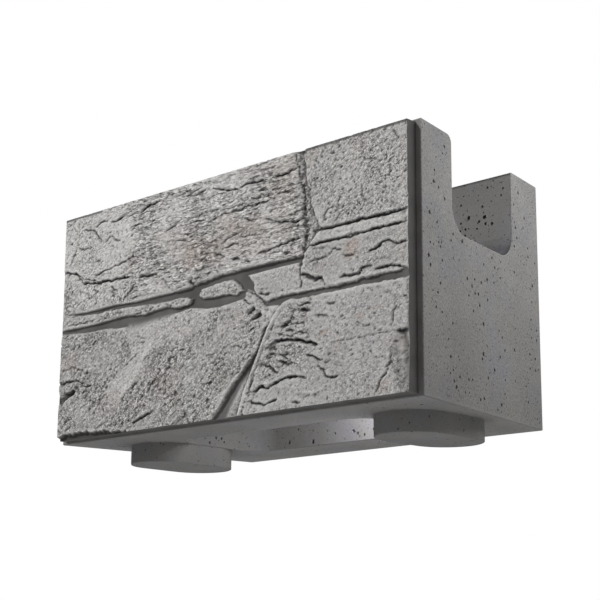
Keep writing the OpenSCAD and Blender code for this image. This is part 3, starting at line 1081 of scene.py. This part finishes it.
def finish_with(name, paint):
    """A material whose colour, roughness and height come from a function of the place."""
    material = bpy.data.materials.new(name)
    material.use_nodes = True
    material.node_tree.nodes.clear()
    start = Socket(material.node_tree)
    place = start.node("TexCoord", {}, {}, output="Object")
    colour, roughness, height, height_mm = paint(place)
    bump = start.node("Bump", {}, {"Strength": 1.0, "Distance": height_mm * MM, "Height": height})
    inputs = {"Base Color": colour, "Roughness": roughness, "Specular IOR Level": 0.25, "Normal": bump}
    shader = start.node("BsdfPrincipled", {}, inputs)
    start.node("OutputMaterial", {}, {"Surface": shader})
    print("finish:", name, len(material.node_tree.nodes), "nodes")
    return material


# %% [markdown]
# ## Cast concrete
#
# Concrete against a steel mould is an even grey, with faint clouds where the paste was wetter and
# pinholes too small to model, which are painted dark as the shade inside them. The insides of the air
# holes are painted dark as shade too, and the colour is painted darker low down, as shade. The inner
# finish is the same concrete with more painted shade: darker higher up, and darkest on what faces up.

# %% Mix the cast concrete
def paint_concrete(place, inner_shade):
    hollow = place.node("Attribute", {"attribute_name": "hollow"}, {}, output="Fac")
    clouds = cloud(place, 0.16, 3.0)
    tint = cloud(place, 0.11)
    speckle = cloud(place, 0.004)
    cells = place.node("TexVoronoi", {}, {"Vector": place, "Scale": 90.0}, output="Distance")
    chosen = cloud(place, 0.012).rising(0.5, 0.56)
    pinholes = (1 - cells.rising(0.13, 0.25)) * chosen
    grey = mixed(clouds.rising(0.3, 0.7), tone("#868584"), tone("#959492"))
    height = place.node("SeparateXYZ", {}, {0: place}, output="Z")
    # Painted shade: the colour is darker low down.
    grey = mixed((1 - height.rising(0.05, 0.5)) * 0.38, grey, tone("#5a5958"))
    # Painted shade inside the trough and core: the colour is darker higher up.
    grey = mixed(height.rising(0.15, 0.40) * inner_shade, grey, tone("#4c4b4a"))
    normal = place.node("NewGeometry", {}, {}, output="Normal")
    upward = place.node("SeparateXYZ", {}, {0: normal}, output="Z")
    # Painted shade inside the trough and core: what faces up is painted darkest.
    grey = mixed(upward.rising(0.0, 0.5) * (inner_shade * 1.9), grey, tone("#2e2d2c"))
    tinted = mixed(tint.rising(0.5, 0.75) * 0.5, grey, tone("#827f8a"))
    tinted = mixed((1 - tint.rising(0.25, 0.48)) * 0.15, tinted, tone("#878578"))
    above_lugs = 0.35 + 0.65 * height.rising(underside_z + 2 * MM, underside_z + 10 * MM)
    speckled = (1 - speckle.rising(0.35, 0.65)) * above_lugs * (1 - inner_shade)
    grained = mixed(speckled, tinted, tone("#d6d6d6"), "MULTIPLY")
    # Painted shade: pinholes too small to model are painted dark, as the shade inside them.
    colour = mixed(pinholes * 0.7, grained, tone("#2a2a2a"))
    # Painted shade: the insides of the air holes are painted dark.
    colour = mixed(hollow * 0.6, colour, tone("#333231"))
    roughness = 0.82 + 0.12 * clouds
    return colour, roughness, speckle * 0.5 - pinholes, 0.8


concrete_finish = finish_with("cast_concrete", lambda place: paint_concrete(place, 0.0))
inner_shaded_finish = finish_with("inner_concrete", lambda place: paint_concrete(place, 0.5))

# %% [markdown]
# ## Stone-patterned face
#
# Broken stone is not a smooth lump with noise on it: it is made of small plates, each at its own level
# and leaning its own way. A Voronoi texture gives such plates, since its colour is one value for each cell
# and its position is the cell's middle. The top of a plate lies in the shadow of the next, so a dark split
# is drawn there. In bedded stone the plates are stretched along the bed, and elsewhere they slant. The
# low places of the grain and the lower plates are painted darker as shade, and the high grain lighter as
# highlights. The numbers that the points carry then say where the stone gets painted light and shade
# and its own tone, where it is brown or coarse, where cracks and edges get painted shade, and where it
# is a joint.

# %% Mix the stone face
def paint_stone(place):
    def painted(name):
        return place.node("Attribute", {"attribute_name": name}, {}, output="Fac")

    joint, hollow, bedded, coarse, tone_and_light = map(painted, ("joint", "hollow", "bedded", "coarse", "tone_and_light"))
    clouds = cloud(place, 0.12, 3.0)
    warm = cloud(place, 0.09)
    wobble = place.node("TexNoise", {}, {"Vector": place, "Scale": 50.0, "Detail": 2.0}, output="Color")
    shifted = place.node("VectorMath", {"operation": "MULTIPLY_ADD"}, {0: wobble, 1: (0.014,) * 3, 2: place})
    layers = place.node("VectorMath", {"operation": "MULTIPLY"}, {0: shifted, 1: (0.3, 1.0, 1.0)})
    turned = place.node("VectorRotate", {"rotation_type": "Y_AXIS"}, {"Vector": shifted, "Angle": 0.6})
    slanted = place.node("VectorMath", {"operation": "MULTIPLY"}, {0: turned, 1: (0.55, 1.0, 1.0)})
    grain = cloud(place, 0.005, 1.0) * (1 - bedded) + cloud(layers, 0.0045, 1.0) * bedded
    fine = cloud(place, 0.0027, 0.0) * (1 - bedded) + cloud(layers, 0.0024, 0.0) * bedded

    def broken(size):
        pairs = zip(plates(layers, size), plates(slanted, size))
        return [along * bedded + across_bed * (1 - bedded) for along, across_bed in pairs]

    level, above = broken(0.009)
    fine_level, fine_above = broken(0.0045)
    splits = above.rising(0.25, 0.5) * cloud(place, 0.03).rising(0.38, 0.54)
    fine_splits = fine_above.rising(0.25, 0.5) * cloud(place, 0.02).rising(0.4, 0.56)
    specks = cloud(place, 0.009, 1.0).rising(0.62, 0.68)
    rough_height = grain + fine * 0.5
    stone = mixed(clouds.rising(0.3, 0.7), tone("#a09f9e"), tone("#b0afae"))
    # Painted light and shade, and the stone's own tone, from the places listed above.
    stone = mixed(tone_and_light.rising(0, 1) * 0.8, stone, tone("#d6d4d2"))
    stone = mixed((0 - tone_and_light).rising(0, 1) * 0.7, stone, tone("#5e5c5a"))
    stone = mixed(warm.rising(0.52, 0.7) * 0.3, stone, tone("#a59c95"))
    stone = mixed(painted("brown") * clouds.rising(0.35, 0.55) * 0.7, stone, tone("#998a80"))
    # Painted shade in the low places of the grain, and painted highlights on its high places.
    stone = mixed((1 - rough_height.rising(0.5, 0.74)) * coarse * 0.7, stone, tone("#4a4846"))
    stone = mixed(rough_height.rising(0.77, 0.93) * coarse * 0.7, stone, tone("#eeecea"))
    # Painted shade on the lower plates.
    stone = mixed((1 - fine_level.rising(0.3, 0.5)) * coarse * 0.3, stone, tone("#4a4846"))
    stone = mixed(fine_splits * coarse * 0.85, stone, tone("#302e2c"))
    stone = mixed(splits * coarse * 0.95, stone, tone("#302e2c"))
    stone = mixed(specks * 0.45, stone, tone("#4a4846"))
    # Painted shade in the hollows of the relief, and painted light on its bumps.
    stone = mixed(hollow.rising(0.05, 0.6) * 0.75, stone, tone("#302f2e"))
    stone = mixed((0 - hollow).rising(0.0, 0.6) * 0.4, stone, tone("#d6d4d2"))
    # Joint beds are painted dark: partly their own darker tone, and partly painted shade, since the beds are
    # shallow.
    colour = mixed(joint, stone, mixed(clouds.rising(0.35, 0.65), tone("#4d4b4a"), tone("#605e5d")))
    # Painted shade in the cracks, along the top edge and in the worn corner.
    colour = mixed(painted("crack") * 0.85, colour, tone("#2b2a29"))
    chipped = level * 0.4 - above * 0.5 + fine_level * 0.15 - fine_above * 0.2 + rough_height * 0.9
    return colour, 0.9, chipped * (0.1 + coarse * 0.9), 6.5


stone_finish = finish_with("stone_face", paint_stone)


# %% [markdown]
# ## Reveal and strip
#
# The panel's cut edges and the bare strip round it are plain concrete that little light reaches. They get
# one simple finish in two tones, painted darker than the body as their shade, the cut edges darkest.

# %% Mix the reveal
def paint_reveal(place, dark, light):
    clouds = cloud(place, 0.05, 3.0)
    colour = mixed(clouds.rising(0.3, 0.7), tone(dark), tone(light))
    return colour, 0.85 + 0.1 * clouds, cloud(place, 0.004), 0.6


# Painted shade: the cut edges and the strip are darker than the body.
reveal_shade_finish = finish_with("reveal", lambda place: paint_reveal(place, "#4c4b4a", "#585756"))
strip_shade_finish = finish_with("bare_strip", lambda place: paint_reveal(place, "#706e6c", "#807e7c"))
for finish in (concrete_finish, inner_shaded_finish, stone_finish, reveal_shade_finish, strip_shade_finish):
    block_mesh.materials.append(finish)

# %% [markdown]
# ## The stage
#
# The photograph looks up at the block from below its underside, and a floor would hide it. So the floor
# is one-sided: it shows from above and is clear from beneath, and it takes no light from the underside.

# %% Set the floor
FLOOR_HALF = 8.0
floor_mesh = bpy.data.meshes.new("floor")
floor_corners = [(-1, -1), (1, -1), (1, 1), (-1, 1)]
floor_points = [(x * FLOOR_HALF, y * FLOOR_HALF, 0) for x, y in floor_corners]
floor_mesh.from_pydata(floor_points, [], [(0, 1, 2, 3)])
floor = bpy.data.objects.new("floor", floor_mesh)
bpy.context.scene.collection.objects.link(floor)
floor.visible_shadow = False
floor.visible_diffuse = False

floor_paint = bpy.data.materials.new("pale_floor")
floor_paint.use_nodes = True
floor_paint.node_tree.nodes.clear()
floor_nodes = Socket(floor_paint.node_tree)
beneath = floor_nodes.node("NewGeometry", {}, {}, output="Backfacing")
matt = floor_nodes.node("BsdfDiffuse", {}, {"Color": tone("#e6e6e4")})
clear = floor_nodes.node("BsdfTransparent", {}, {})
one_sided = floor_nodes.node("MixShader", {}, {0: beneath, 1: matt, 2: clear})
floor_nodes.node("OutputMaterial", {}, {"Surface": one_sided})
floor_mesh.materials.append(floor_paint)
print("floor half width in m:", FLOOR_HALF)

# %% [markdown]
# ## Light
#
# The key light falls on the face from the upper left and brings out the relief, and a soft fill opens
# the right end. From below, the camera sees a bright wall inside the core. A small lamp hidden in the core
# lights it, and a narrow spot from below adds a glow. The sky is brightest underneath, as over a
# white table, and the camera itself sees plain white paper.

# %% Light the studio
KEY_FROM = Vector((-1.8, -3.0, 2.9))
KEY_STRENGTH = 3.0
FILL_FROM = Vector((1.8, 0.9, 2.1))
FILL_POWER = 66.0
CORE_FROM = Vector((0.26, 0.02, 0.28))
CORE_AT = Vector((0.26, 0.164, 0.08))
CORE_POWER = 4.1
GLOW_FROM = Vector((1.2, -1.6, -0.9))
GLOW_AT = Vector((-0.12, 0.16, 0.1))
GLOW_POWER = 40.0
KEY_ANGLE = math.radians(7)
FILL_SIZE = 1.8
CORE_SIZE = 0.06
GLOW_CONE = math.radians(7)
GLOW_SOFTNESS = 0.2

sun = bpy.data.lights.new("key", "SUN")
sun.energy = KEY_STRENGTH
sun.angle = KEY_ANGLE
fill = bpy.data.lights.new("fill", "AREA")
fill.energy = FILL_POWER
fill.size = FILL_SIZE
core_lamp = bpy.data.lights.new("core_lamp", "AREA")
core_lamp.energy = CORE_POWER
core_lamp.size = CORE_SIZE
glow = bpy.data.lights.new("core_glow", "SPOT")
glow.energy = GLOW_POWER
glow.spot_size = GLOW_CONE
glow.spot_blend = 1.0
glow.shadow_soft_size = GLOW_SOFTNESS
middle_of_block = (cad_low + cad_high) / 2
for light, stand, target in (
    (sun, KEY_FROM, middle_of_block),
    (fill, FILL_FROM, middle_of_block),
    (core_lamp, CORE_FROM, CORE_AT),
    (glow, GLOW_FROM, GLOW_AT),
):
    lamp = bpy.data.objects.new(light.name, light)
    aim = (target - stand).to_track_quat("-Z", "Y")
    lamp.matrix_world = Matrix.Translation(stand) @ aim.to_matrix().to_4x4()
    lamp.visible_camera = False
    bpy.context.scene.collection.objects.link(lamp)
print("lamps:", len(bpy.data.lights))

# %% Colour the sky
SKY_ABOVE = 0.35
SKY_LEVEL = 0.15
SKY_BELOW = 0.95
WHITE = (1, 1, 1, 1)

world = bpy.data.worlds.new("studio")
world.use_nodes = True
world.node_tree.nodes.clear()
bpy.context.scene.world = world
sky_nodes = Socket(world.node_tree)
direction = sky_nodes.node("TexCoord", {}, {}, output="Generated")
upwards = sky_nodes.node("SeparateXYZ", {}, {0: direction}, output="Z")
from_above = (SKY_ABOVE - SKY_LEVEL) * upwards.rising(0.1, 1)
from_below = (SKY_BELOW - SKY_LEVEL) * (0 - upwards).rising(0.1, 1)
sky_strength = SKY_LEVEL + from_above + from_below
sky = sky_nodes.node("Background", {}, {"Color": WHITE, "Strength": sky_strength})
paper = sky_nodes.node("Background", {}, {"Color": WHITE, "Strength": 1.0})
seen = sky_nodes.node("LightPath", {}, {}, output="Is Camera Ray")
backdrop = sky_nodes.node("MixShader", {}, {0: seen, 1: sky, 2: paper})
sky_nodes.node("OutputWorld", {}, {"Surface": backdrop})
bpy.context.scene.view_settings.view_transform = "Standard"
print("sky below:", SKY_BELOW)
